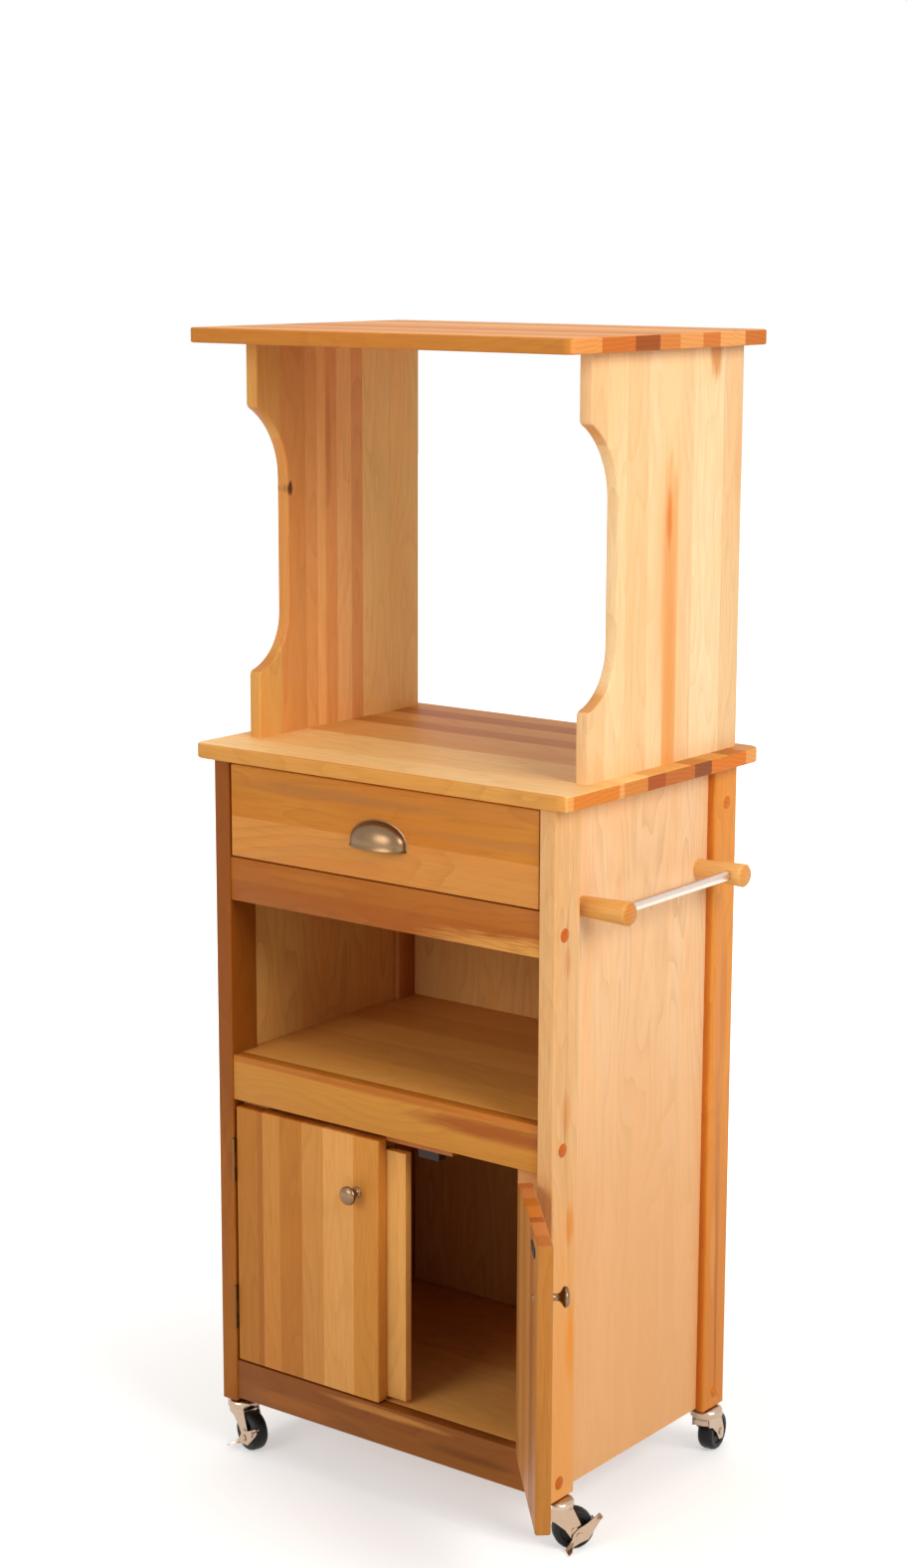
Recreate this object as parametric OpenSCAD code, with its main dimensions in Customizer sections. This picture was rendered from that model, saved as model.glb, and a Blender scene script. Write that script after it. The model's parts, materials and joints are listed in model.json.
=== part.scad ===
// Kitchen storage cart with an open hutch: a slab top on four legs, one drawer, an open bay,
// a two-door cupboard, a towel rod on the right side and four swivel casters.
// Millimetres. X runs left to right, Y front to back, Z up; the floor is Z = 0.

/* [Body] */
// Width over the outer faces of the legs
body_w = 546; // [530:1:565]
// Depth over the front and rear faces of the legs
body_d = 405; // [395:1:415]
// Height of the cart top above the floor
counter_h = 974; // [959:1:989]
// Thickness of tops, shelves, rails, doors and hutch panels
board_t = 19; // [18:0.5:20]
// Width of a leg, left to right
leg_w = 25; // [24.5:0.5:27]
// Depth of a leg, front to back
leg_d = 52; // [50:1:56]
// Rounding of the upright edges of a leg
leg_round = 3; // [3:0.5:4]
// Set-back of drawer front, doors and rails behind the leg fronts
setback = 2.5; // [2.5:0.5:4]
// Thickness of the side panels and the back panel
ply_t = 6; // [5:0.5:7]
// Set-in of a side panel behind the outer face of the leg
ply_inset = 11.3; // [10:0.1:11.5]
// Depth of the grooves that hold the panels
groove_deep = 8; // [6:0.5:9]
// Distance of the back panel from the rear faces of the legs
back_inset = 8; // [6:0.5:10]

/* [Tops] */
// Width of the cart top
top_w = 597; // [592:1:604]
// Depth of the cart top
top_d = 437; // [430:1:444]
// Overhang of the cart top in front of the legs
top_over = 14; // [12:0.5:15]
// Plan radius at the corners of the cart top
top_corner = 19; // [15:0.5:21]
// Rounding of the edges of both slabs
top_edge = 2.5; // [2:0.5:4]
// Width of the hutch shelf
hutch_w = 594; // [590:1:600]
// Depth of the hutch shelf
hutch_d = 434; // [428:1:440]
// Overhang of the hutch shelf in front of the legs
hutch_over = 13; // [11:0.5:15]
// Plan radius at the corners of the hutch shelf
hutch_corner = 13; // [10:0.5:16]

/* [Hutch] */
// Height of the hutch panels between the slabs
hutch_h = 513.4; // [505:0.2:525]
// Distance between the outer faces of the hutch panels
hutch_span = 540.6; // [534:0.2:546]
// Front edge of the hutch panels, from the leg fronts
hutch_front = 68; // [64:0.5:72]
// Rear edge of the hutch panels, from the leg fronts
hutch_rear = 404.5; // [398:0.5:408]
// Waist of the hutch panels, from the leg fronts
waist_y = 127; // [122:0.5:132]
// Height of the lower end of the waist above the cart top
waist_low = 160; // [156:1:166]
// Height of the upper end of the waist above the cart top
waist_high = 335; // [328:1:340]
// Radius of the lower scoop
scoop_low_r = 74; // [71:1:78]
// Radius of the upper scoop
scoop_high_r = 106; // [102:1:110]
// Rounding where a scoop meets the front edge
scoop_round = 8; // [6:0.5:10]
// Diameter of the dowels between slabs and hutch panels
dowel_d = 8; // [7:0.5:9]
// Depth of a dowel in a slab
dowel_deep = 12; // [10:0.5:13]
// Depth of a dowel in a hutch panel
dowel_up = 20; // [16:1:26]
// Distance of the rear dowels from the rear edge of the hutch panels
dowel_rear = 60; // [40:1:80]
// Distance between the dowels of an end
dowel_step = 150; // [120:1:160]

/* [Rails and shelves] */
// Height of the drawer rail
drawer_rail_h = 57.5; // [54:0.5:58]
// Height of the shelf rail and of the bottom rail
rail_h = 61; // [58:0.5:63]
// Height of the bottom rail
low_rail_h = 54; // [52:0.5:55]
// Rise of the bottom rail above the feet of the legs
low_rail_up = 4; // [3:0.5:5]
// Drop of the middle of the upper rear rail below the leg tops
rear_rail_drop = 52; // [46:1:56]

/* [Drawer] */
// Height of the drawer front
drawer_h = 121.5; // [120:0.5:122]
// Gap under the drawer front
drawer_gap = 2; // [1.5:0.5:3]
// Gap at the ends of the drawer front
drawer_end = 2; // [1.5:0.5:3]
// Height of the drawer sides
drawer_side_h = 100; // [90:1:104]
// Thickness of the drawer sides and back
drawer_side_t = 14; // [13:0.5:15]
// Gap over the drawer front
drawer_head = 5; // [3.5:0.5:6]
// Gap behind the drawer
drawer_behind = 14.5; // [10:0.5:30]
// Gap between a leg and a drawer side
drawer_play = 9; // [8:0.5:10]
// Thickness of the drawer bottom
drawer_floor_t = 5; // [4:0.5:6]
// Height of a drawer runner
runner_h = 20; // [18:0.5:24]
// Reach of a drawer runner into the groove of the drawer side
runner_in = 6; // [5:0.5:7]
// Running gap round a drawer runner
runner_gap = 0.4; // [0.3:0.1:0.6]

/* [Cup pull] */
// Width of the flange of the cup pull
cup_w = 91.5; // [88:0.5:96]
// Height of the cup pull
cup_h = 36; // [34:0.5:38]
// Radius of the hood of the cup pull
cup_r = 23; // [21:0.5:24]
// Wall of the cup pull
cup_wall = 1.6; // [1.2:0.1:2]
// Distance between the screws of the cup pull
cup_screws = 64; // [60:1:68]
// Middle of the cup pull above the underside of the drawer front
cup_rise = 61.5; // [56.5:1:66.5]

/* [Doors] */
// Gap under the doors
door_foot = 2; // [1.5:0.5:3]
// Height of the doors
door_h = 356.5; // [352:0.5:358]
// Gap over the doors
door_head = 9; // [7:0.5:12]
// Width of the right door
door_right_w = 222; // [220:0.5:226]
// Distance between the two shut doors, which the astragal covers
door_meet = 26; // [22:0.5:27]
// Gap between a door and its leg
door_gap = 3; // [3:0.1:3.4]
// Opening angle of the right door as drawn
door_angle = 132; // [120:1:140]
// Reach of the astragal beyond the left door
astragal_lap = 30; // [29.5:0.5:33]
// Width of the astragal
astragal_w = 57; // [52:1:60]
// Thickness of the astragal
astragal_t = 12; // [10:0.5:14]
// Drop of the astragal below the top of the doors
astragal_drop = 16.5; // [12:0.5:18]
// Distance of a knob from the free edge of its door
knob_in = 35; // [32:0.5:38]
// Drop of the knobs below the top of the doors
knob_drop = 75.5; // [69.5:1:81.5]
// Diameter of the head of a knob
knob_d = 25; // [22:0.5:27]
// Projection of a knob
knob_out = 24; // [22:0.5:26]
// Height of a hinge
hinge_h = 60; // [54:1:66]
// Distance of a hinge from the end of its door
hinge_in = 45; // [40:1:60]
// Thickness of a hinge leaf
leaf_t = 1.2; // [1:0.05:1.25]
// Radius of a hinge barrel
barrel_r = 2; // [1.9:0.05:2.05]
// Radius of a hinge pin
pin_r = 1.1; // [1:0.05:1.2]
// Radial clearance of a pin in its knuckle
pin_play = 0.05; // [0.03:0.01:0.09]
// Width of a hinge cleat
cleat_w = 44.5; // [40:0.5:48]
// Middle of the magnetic catch from the free edge of the right door
catch_in = 39.5; // [35:0.5:43]
// Width of the magnetic catch
catch_w = 33; // [30:1:36]
// Width of the catch cleat
catch_cleat_w = 108; // [100:1:116]
// Reach of the catch cleat beyond the middle of the catch
catch_cleat_in = 39.5; // [36:0.5:44]
// Length of the strike plate
strike_w = 40; // [36:1:44]

/* [Towel rod] */
// Drop of the towel rod below the cart top
rod_drop = 151; // [143:1:159]
// Distance of a peg from the edge of its leg
peg_in = 19.7; // [17:0.1:24]
// Reach of a peg from the side panel
peg_out = 71.3; // [68:0.1:76]
// Diameter of a peg at the panel
peg_root_d = 25; // [23:0.5:27]
// Diameter of a peg at its tip
peg_tip_d = 30; // [28:0.5:32]
// Diameter of the towel rod
rod_d = 12.7; // [11:0.1:14]
// Distance of the towel rod from the side panel
rod_out = 51.3; // [48:0.1:53]

/* [Buttons] */
// Diameter of a screw button
button_d = 17.5; // [16:0.5:19]
// Rise of a screw button above the leg
button_h = 2.5; // [2:0.1:3]
// Rise of the lowest buttons above the feet of the legs
button_up = 22; // [21:0.5:27]

/* [Casters] */
// Diameter of a wheel
wheel_d = 53; // [51.5:0.5:54]
// Width of a wheel
wheel_w = 21; // [19.5:0.5:21.5]
// Height of a swivel head, from the top of the wheel to the foot of the leg
swivel_h = 19; // [18:0.5:20.5]
// Trail of the wheel behind the swivel axis
trail = 25; // [23:0.5:26]
// Diameter of the round cap of a fork
cap_d = 44; // [43.5:0.5:46]
// Shift of the cap from the swivel axis towards the wheel
cap_shift = 4; // [3:0.5:4.5]
// Distance of the brake rivet ahead of the axle, and below it
rivet_off = 5.5; // [5.5:0.1:6]
// Diameter of the brake rivet
rivet_d = 5; // [4.5:0.1:5]
// Slope of the front left brake lever, released
slope_fl = 33; // [33:1:44]
// Slope of the front right brake lever, pressed
slope_fr = 45; // [33:1:45]
// Diameter of an axle
axle_d = 6; // [5:0.5:6.5]
// Diameter of the stem in the leg
stem_d = 11; // [10:0.5:12]
// Depth of the stem in the leg
stem_up = 35; // [30:1:40]
// Diameter of the flange of the stem
stem_flange_d = 22; // [20:0.5:24]
// Diameter of the swivel pin
swivel_d = 8; // [7:0.5:8.5]
// Radial clearance of axles and swivel pins
play = 0.05; // [0.03:0.01:0.09]
// Heading of the front left caster
head_fl = -18; // [-60:1:60]
// Heading of the front right caster
head_fr = 50; // [-60:1:60]
// Heading of the rear left caster
head_rl = -25; // [-60:1:60]
// Heading of the rear right caster
head_rr = 98; // [40:1:140]

/* [Hidden] */
$fn = 48;
e = 0.01;
hx = body_w / 2;
inx = hx - leg_w;
foot_z = wheel_d + swivel_h;
leg_top = counter_h - board_t;
leg_h = leg_top - foot_z;
rail_back = setback + board_t;
stop_gap = 0.5;
inner_y = rail_back + stop_gap;
rear_leg_y = body_d - leg_d;
ply_x = hx - ply_inset;
ply_in_x = ply_x - ply_t;
back_y = body_d - back_inset - ply_t;
hutch_z = counter_h + hutch_h;
panel_x = hutch_span / 2;
low_rail_z = foot_z + low_rail_up;
low_shelf_z = low_rail_z + low_rail_h;
door_z = low_shelf_z + door_foot;
door_top = door_z + door_h;
shelf_z = door_top + door_head + rail_h;
shelf_low = shelf_z - board_t;
rear_rail_y = back_y - board_t;
rear_rail_z = leg_top - rear_rail_drop;
drawer_z = leg_top - drawer_head - drawer_h;
drawer_rail_z = drawer_z - drawer_gap - drawer_rail_h;
drawer_deep = rear_rail_y - drawer_behind - rail_back;
drawer_out = inx - drawer_play;
side_z = drawer_z + 6;
floor_z = side_z + 8;
runner_z = side_z + drawer_side_h / 2 - runner_h / 2;
cup_z = drawer_z + cup_rise;
cup_end = cup_w / 2 - 4.5 - cup_r;
cup_top = cup_z + cup_h / 2 - 3 - cup_r;
cup_skirt = cup_h - 3 - cup_r;
button_deep = 5;
button_low_z = foot_z + button_up;
axis_x = inx - 1;
axis_y = -0.5;
door_x = inx - door_gap;
door_left_w = 2 * door_x - door_meet - door_right_w;
knob_z = door_top - knob_drop;
astragal_x = astragal_lap + door_left_w - door_x;
catch_x = door_x - door_right_w + catch_in;
catch_top = door_top - 4.5;
rod_z = counter_h - rod_drop;
strike_z = catch_top - 13;
fork_t = 1.5;
fork_in = wheel_w / 2 + 1;
fork_top = foot_z - 2;
fork_roof = wheel_d + 1.5;
rivet_head = 1.5;
lever_in = fork_in + fork_t + rivet_head + 0.5;
cap_z = fork_roof + 3;
wall_low = cap_z - 10.5;
shoe_d = 2.4;
shoe_over = 2.2;
rivet_span = rivet_off * sqrt(2);
shoe_reach = wheel_d / 2 + shoe_d / 2 + 0.36;
shoe_along = sqrt(shoe_reach * shoe_reach - (rivet_span - shoe_over) * (rivet_span - shoe_over));
wheel_z = wheel_d / 2;
leg_x = hx - leg_w / 2;
front_leg_y = leg_d / 2;
back_leg_y = body_d - leg_d / 2;
origin_x = -49;
origin_y = -120.5;

// A rectangle with rounded corners, standing on the origin.
module soft_rect(a, b, r) {
    translate([r, 0]) square([a - 2 * r, b]);
    translate([0, r]) square([a, b - 2 * r]);
    for (x = [r, a - r], y = [r, b - r]) translate([x, y]) circle(r = r);
}

// The rounded edge of a slab, from the straight part at 0 outwards by c.
module soft_end(c, t, r) {
    intersection() {
        translate([-c, 0]) soft_rect(2 * c, t, r);
        square([c, t]);
    }
}

// A slab with rounded corners in plan and rounded long edges.
module slab(w, d, t, c, r) {
    translate([c, 0, 0]) rotate([90, 0, 90]) linear_extrude(w - 2 * c) soft_rect(d, t, r);
    translate([w - c, d - c, 0]) rotate([90, 0, 0]) linear_extrude(d - 2 * c) soft_end(c, t, r);
    translate([c, c, 0]) rotate([90, 0, 180]) linear_extrude(d - 2 * c) soft_end(c, t, r);
    translate([w - c, d - c, 0]) rotate_extrude(angle = 90) soft_end(c, t, r);
    translate([c, d - c, 0]) rotate([0, 0, 90]) rotate_extrude(angle = 90) soft_end(c, t, r);
    translate([c, c, 0]) rotate([0, 0, 180]) rotate_extrude(angle = 90) soft_end(c, t, r);
    translate([w - c, c, 0]) rotate([0, 0, 270]) rotate_extrude(angle = 90) soft_end(c, t, r);
}

// A box between two corner points.
module between(a, b) {
    translate(a) cube(b - a);
}

// Places a copy as it is and one mirrored to the other side of the cart.
module both_sides() {
    children();
    mirror([1, 0, 0]) children();
}

module dowel_spots() {
    y = hutch_rear - dowel_rear;
    for (dy = [0, dowel_step]) translate([panel_x - board_t / 2, y - dy, 0]) children();
}

module dowels() {
    both_sides() dowel_spots() {
        translate([0, 0, counter_h - dowel_deep]) cylinder(d = dowel_d, h = dowel_deep + dowel_up);
        translate([0, 0, hutch_z - dowel_up]) cylinder(d = dowel_d, h = dowel_deep + dowel_up);
    }
}

module cart_top() {
    color("burlywood") difference() {
        translate([-top_w / 2, -top_over, leg_top]) slab(top_w, top_d, board_t, top_corner, top_edge);
        dowels();
    }
}

module hutch_shelf() {
    color("burlywood") difference() {
        translate([-hutch_w / 2, -hutch_over, hutch_z])
            slab(hutch_w, hutch_d, board_t, hutch_corner, top_edge);
        dowels();
    }
}

// The corner between the straight front edge and a scoop, as cut away by a rounding.
module scoop_corner(centre, r, side) {
    cy = hutch_front + scoop_round;
    dy = cy - centre[0];
    dz = sqrt(pow(r + scoop_round, 2) - dy * dy);
    cz = centre[1] + side * dz;
    k = r / (r + scoop_round);
    difference() {
        polygon([[hutch_front - 1, cz], [cy, cz], [centre[0] + dy * k, centre[1] + side * dz * k],
            [hutch_front - 1, centre[1] + side * dz * k]]);
        translate([cy, cz]) circle(r = scoop_round);
    }
}

// Side view of a hutch panel: Y and the height above the cart top.
module hutch_outline() {
    low = [waist_y - scoop_low_r, waist_low];
    high = [waist_y - scoop_high_r, waist_high];
    difference() {
        translate([hutch_front, 0]) square([hutch_rear - hutch_front, hutch_h]);
        translate([hutch_front - 1, waist_low]) square([waist_y - hutch_front + 1, waist_high - waist_low]);
        intersection() {
            translate(low) circle(r = scoop_low_r, $fn = 144);
            translate([hutch_front - 1, waist_low - scoop_low_r])
                square([2 * scoop_low_r, scoop_low_r + e]);
        }
        intersection() {
            translate(high) circle(r = scoop_high_r, $fn = 180);
            translate([hutch_front - 1, waist_high - e]) square([2 * scoop_high_r, scoop_high_r]);
        }
        scoop_corner(low, scoop_low_r, -1);
        scoop_corner(high, scoop_high_r, 1);
    }
}

module hutch_panel() {
    difference() {
        translate([panel_x - board_t, 0, counter_h])
            rotate([90, 0, 90]) linear_extrude(board_t) hutch_outline();
        dowels();
    }
}

module hutch_side_right() {
    color("wheat") hutch_panel();
}

module hutch_side_left() {
    color("wheat") mirror([1, 0, 0]) hutch_panel();
}

module hutch_dowels() {
    color("tan") dowels();
}

// Places a button shape on the outer face of the right legs.
module button_spots(front) {
    y = front ? setback + board_t - 2 : rear_rail_y + board_t / 2;
    zs = front ? [drawer_rail_z + drawer_rail_h / 2, shelf_z - rail_h / 2, button_low_z]
        : [rear_rail_z, button_low_z];
    for (z = zs) translate([hx, y, z]) rotate([0, 90, 0]) children();
}

module right_leg(front) {
    y = front ? 0 : rear_leg_y;
    groove_y = front ? leg_d - groove_deep : rear_leg_y - e;
    difference() {
        translate([inx, y, foot_z]) linear_extrude(leg_h) soft_rect(leg_w, leg_d, leg_round);
        translate([ply_in_x, groove_y, foot_z - e]) cube([ply_t, groove_deep + e, leg_h + 2 * e]);
        if (!front) translate([inx - e, back_y, foot_z - e]) cube([groove_deep + e, ply_t, leg_h + 2 * e]);
        translate([leg_x, y + leg_d / 2, foot_z - e]) cylinder(d = stem_d, h = stem_up + e);
        button_spots(front) translate([0, 0, -button_deep]) cylinder(d = button_d - 7, h = button_deep + 1);
    }
}

module leg_front_right() {
    color("burlywood") right_leg(true);
}

module leg_front_left() {
    color("sienna") mirror([1, 0, 0]) right_leg(true);
}

module leg_rear_right() {
    color("peru") right_leg(false);
}

module leg_rear_left() {
    color("peru") mirror([1, 0, 0]) right_leg(false);
}

module right_panel() {
    between([ply_in_x, leg_d - groove_deep, foot_z + 3], [ply_x, rear_leg_y + groove_deep, leg_top]);
}

module side_panel_right() {
    color("wheat") right_panel();
}

module side_panel_left() {
    color("wheat") mirror([1, 0, 0]) right_panel();
}

module back_panel() {
    x = inx + groove_deep;
    color("tan") between([-x, back_y, low_rail_z], [x, back_y + ply_t, leg_top]);
}

module front_rail(z, h) {
    between([-inx, setback, z], [inx, rail_back, z + h]);
}

module drawer_rail() {
    color("sienna") front_rail(drawer_rail_z, drawer_rail_h);
}

module shelf_rail() {
    color("peru") front_rail(shelf_z - rail_h, rail_h);
}

module bottom_rail() {
    color("sienna") front_rail(low_rail_z, low_rail_h);
}

module rear_rails() {
    color("peru") for (z = [low_rail_z, rear_rail_z - low_rail_h / 2])
        between([-inx, rear_rail_y, z], [inx, back_y, z + low_rail_h]);
}

// A shelf between the side panels, cut back to the inner faces of the legs at its corners.
module shelf(z, y1) {
    between([-inx, rail_back, z - board_t], [inx, y1, z]);
    between([-ply_in_x, leg_d, z - board_t], [ply_in_x, rear_leg_y, z]);
}

module middle_shelf() {
    color("burlywood") shelf(shelf_z, back_y);
}

module bottom_shelf() {
    color("burlywood") shelf(low_shelf_z, rear_rail_y);
}

module drawer_runners() {
    color("tan") both_sides()
        between([drawer_out - runner_in, rail_back + 3, runner_z], [inx, rear_rail_y, runner_z + runner_h]);
}

module drawer_front() {
    x = inx - drawer_end;
    color("peru") difference() {
        between([-x, setback, drawer_z], [x, rail_back, drawer_z + drawer_h]);
        between([-drawer_out + drawer_side_t - 6, rail_back - 6, floor_z],
            [drawer_out - drawer_side_t + 6, rail_back + 1, floor_z + drawer_floor_t]);
        for (s = [-1, 1]) translate([s * cup_screws / 2, setback - 1, cup_z - 4])
            rotate([-90, 0, 0]) cylinder(d = 4.6, h = board_t + 2);
    }
}

module right_drawer_side() {
    difference() {
        between([drawer_out - drawer_side_t, rail_back, side_z],
            [drawer_out, rail_back + drawer_deep, side_z + drawer_side_h]);
        between([drawer_out - runner_in - runner_gap, rail_back + 2, runner_z - runner_gap],
            [drawer_out + 1, rail_back + drawer_deep + 1, runner_z + runner_h + runner_gap]);
        between([drawer_out - drawer_side_t - 1, rail_back - 1, floor_z],
            [drawer_out - drawer_side_t + 6, rail_back + drawer_deep + 1, floor_z + drawer_floor_t]);
    }
}

module drawer_side_right() {
    color("wheat") right_drawer_side();
}

module drawer_side_left() {
    color("wheat") mirror([1, 0, 0]) right_drawer_side();
}

module drawer_back() {
    x = drawer_out - drawer_side_t;
    y = rail_back + drawer_deep;
    color("wheat")
        between([-x, y - drawer_side_t, floor_z + drawer_floor_t], [x, y, side_z + drawer_side_h - 2]);
}

module drawer_bottom() {
    x = drawer_out - drawer_side_t + 6;
    color("tan")
        between([-x, rail_back - 6, floor_z], [x, rail_back + drawer_deep, floor_z + drawer_floor_t]);
}

// Half section of the hood: a quarter round over a short straight skirt.
module hood_section(r) {
    intersection() {
        circle(r = r);
        square(r + 1);
    }
    translate([0, -cup_skirt]) square([r, cup_skirt]);
}

// Runs the half section along X, over a length of twice x.
module hood_run(x, r) {
    translate([x, setback, cup_top]) rotate([0, 0, -90]) rotate([90, 0, 0])
        linear_extrude(2 * x) hood_section(r);
}

// The closed hood: the run with a quarter turn of the section at each end.
module hood() {
    hood_run(cup_end, cup_r);
    for (s = [0, 1]) mirror([s, 0, 0]) translate([cup_end, setback, cup_top]) rotate([0, 0, -90])
        rotate_extrude(angle = 90) hood_section(cup_r);
}

// Front view of the flange behind the hood.
module flange_outline() {
    r = 14;
    translate([-cup_w / 2, cup_z - cup_h / 2]) square([cup_w, cup_h - r]);
    translate([-cup_w / 2 + r, cup_z - cup_h / 2]) square([cup_w - 2 * r, cup_h]);
    for (s = [-1, 1]) translate([s * (cup_w / 2 - r), cup_z + cup_h / 2 - r]) circle(r = r);
}

module cup_pull() {
    x = cup_screws / 2;
    color("silver") difference() {
        union() {
            hood();
            translate([0, setback, 0]) rotate([90, 0, 0]) linear_extrude(cup_wall) flange_outline();
        }
        hood_run(x - 5, cup_r - cup_wall);
        between([-x + 5, setback - cup_r + cup_wall, cup_z - cup_h], [x - 5, setback + 1, cup_top - 1]);
        for (s = [-1, 1]) translate([s * x, setback + 1, cup_z - 4])
            rotate([90, 0, 0]) cylinder(d = 4, h = 9);
    }
}

module cup_pull_screws() {
    color("silver") for (s = [-1, 1]) translate([s * cup_screws / 2, 0, cup_z - 4]) {
        translate([0, setback - 6, 0]) rotate([-90, 0, 0]) cylinder(d = 4, h = board_t + 6);
        translate([0, rail_back, 0]) rotate([-90, 0, 0]) cylinder(d = 8, h = 2.5);
    }
}

// Swings the right door and all that rides on it from shut to the drawn opening.
module swing_right() {
    translate([axis_x, axis_y, 0]) rotate([0, 0, door_angle]) translate([-axis_x, -axis_y, 0]) children();
}

// A door shut against its right leg, with the bore for its knob screw.
module door_slab(w) {
    difference() {
        between([door_x - w, setback, door_z], [door_x, rail_back, door_top]);
        translate([door_x - w + knob_in, setback - 1, knob_z])
            rotate([-90, 0, 0]) cylinder(d = 4.6, h = board_t + 2);
    }
}

module knob(w) {
    translate([door_x - w + knob_in, 0, knob_z]) {
        translate([0, setback, 0]) rotate([90, 0, 0]) difference() {
            union() {
                cylinder(r1 = 5.5, r2 = 4.5, h = 3);
                cylinder(r = 4.5, h = knob_out - 9);
                translate([0, 0, knob_out - 9]) cylinder(r1 = 4.5, r2 = knob_d / 2 - 1, h = 4.5);
                translate([0, 0, knob_out - 4.5]) cylinder(r = knob_d / 2, h = 2.5);
                translate([0, 0, knob_out - 4.5]) cylinder(r = knob_d / 2 - 1.5, h = 4.5);
            }
            translate([0, 0, -1]) cylinder(d = 4.2, h = 12);
        }
        translate([0, setback - 8, 0]) rotate([-90, 0, 0]) cylinder(d = 4, h = board_t + 8);
        translate([0, rail_back, 0]) rotate([-90, 0, 0]) cylinder(d = 8, h = 2);
    }
}

module door_left() {
    color("peru") mirror([1, 0, 0]) door_slab(door_left_w);
}

module door_right() {
    color("burlywood") swing_right() door_slab(door_right_w);
}

module knob_left() {
    color("silver") mirror([1, 0, 0]) knob(door_left_w);
}

module knob_right() {
    color("silver") swing_right() knob(door_right_w);
}

module astragal() {
    edge = -door_x + door_left_w;
    color("peru") difference() {
        between([astragal_x - astragal_w, rail_back, door_z + 4],
            [astragal_x, rail_back + astragal_t, door_top - astragal_drop]);
        between([edge, rail_back - 1, door_z], [astragal_x + 1, rail_back + stop_gap, door_top]);
    }
}

module hinge_heights() {
    for (z = [door_z + hinge_in, door_top - hinge_in - hinge_h]) translate([0, 0, z]) children();
}

// Frame half of a hinge: leaf on the leg, two end knuckles and the pin.
module frame_leaf() {
    k = hinge_h / 3;
    for (z = [0, 2 * k]) {
        translate([axis_x, axis_y, z]) cylinder(r = barrel_r, h = k, $fn = 32);
        between([inx - leaf_t, axis_y, z], [inx, axis_y + 5, z + k]);
    }
    between([inx - leaf_t, axis_y + barrel_r + 0.6, 0], [inx, rail_back - 2, hinge_h]);
    translate([axis_x, axis_y, e]) cylinder(r = pin_r, h = hinge_h - 2 * e, $fn = 32);
}

// Door half of a hinge: leaf on the edge of the door and the middle knuckle.
module door_leaf() {
    k = hinge_h / 3;
    difference() {
        union() {
            translate([axis_x, axis_y, k + 0.3]) cylinder(r = barrel_r, h = k - 0.6, $fn = 32);
            between([door_x, axis_y, k + 0.3], [door_x + leaf_t, axis_y + 5, 2 * k - 0.3]);
        }
        translate([axis_x, axis_y, 0]) cylinder(r = pin_r + pin_play, h = hinge_h, $fn = 32);
    }
    between([door_x, axis_y + barrel_r + 0.6, 0], [door_x + leaf_t, rail_back - 2, hinge_h]);
}

module hinge_frame_leaves_right() {
    color("silver") hinge_heights() frame_leaf();
}

module hinge_frame_leaves_left() {
    color("silver") mirror([1, 0, 0]) hinge_heights() frame_leaf();
}

module hinge_door_leaves_right() {
    color("silver") swing_right() hinge_heights() door_leaf();
}

module hinge_door_leaves_left() {
    color("silver") mirror([1, 0, 0]) hinge_heights() door_leaf();
}

module right_cleat() {
    between([inx - cleat_w, inner_y, low_shelf_z], [inx, inner_y + board_t, shelf_low]);
}

module hinge_cleat_right() {
    color("peru") right_cleat();
}

module hinge_cleat_left() {
    color("peru") mirror([1, 0, 0]) right_cleat();
}

module catch_cleat() {
    color("peru") difference() {
        between([catch_x + catch_cleat_in - catch_cleat_w, rail_back, catch_top],
            [catch_x + catch_cleat_in, rail_back + board_t, shelf_low]);
        between([-inx, rail_back - 1, catch_top - 1], [inx, inner_y, shelf_z - rail_h]);
    }
}

module magnetic_catch() {
    x = catch_x - catch_w / 2;
    color("dimgray") {
        between([x, rail_back + 2.5, catch_top - 12], [x + catch_w, rail_back + 17, catch_top]);
    }
}

module strike_plate() {
    color("dimgray") swing_right() translate([catch_x, rail_back, strike_z]) rotate([-90, 0, 0]) {
        translate([-strike_w / 2 + 6, -6, 0]) cube([strike_w - 12, 12, 1.2]);
        for (s = [-1, 1]) translate([s * (strike_w / 2 - 6), 0, 0]) cylinder(r = 6, h = 1.2);
    }
}

// A towel peg along X, with the socket for the rod on the side that faces the other peg.
module peg(y, dir) {
    difference() {
        translate([ply_x, y, rod_z]) rotate([0, 90, 0]) {
            cylinder(d1 = peg_root_d, d2 = peg_tip_d, h = peg_out - 2.5);
            translate([0, 0, peg_out - 2.5]) cylinder(d1 = peg_tip_d, d2 = peg_tip_d - 5, h = 2.5);
        }
        translate([ply_x + rod_out, y + dir * 3, rod_z])
            rotate([-90 * dir, 0, 0]) cylinder(d = rod_d, h = 20);
    }
}

module towel_peg_front() {
    color("burlywood") peg(leg_d + peg_in, 1);
}

module towel_peg_rear() {
    color("burlywood") peg(rear_leg_y - peg_in, -1);
}

module towel_rod() {
    y0 = leg_d + peg_in + 3;
    y1 = rear_leg_y - peg_in - 3;
    color("silver")
        translate([ply_x + rod_out, y0, rod_z]) rotate([-90, 0, 0]) cylinder(d = rod_d, h = y1 - y0);
}

// A domed button with its plug.
module button() {
    a = button_d / 2;
    r = (a * a + button_h * button_h) / (2 * button_h);
    intersection() {
        translate([0, 0, button_h - r]) sphere(r = r);
        cylinder(r = a, h = button_h + 1);
    }
    translate([0, 0, -button_deep]) cylinder(d = button_d - 7, h = button_deep + e);
}

module screw_buttons() {
    color("peru") both_sides() {
        button_spots(true) button();
        button_spots(false) button();
    }
}

// Moves a caster from its own frame (swivel axis on Z, wheel along +X) to its leg.
module at_caster(x, y, a) {
    translate([x, y, 0]) rotate([0, 0, a]) children();
}

module at_fl() {
    at_caster(-leg_x, front_leg_y, head_fl) children();
}

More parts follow.
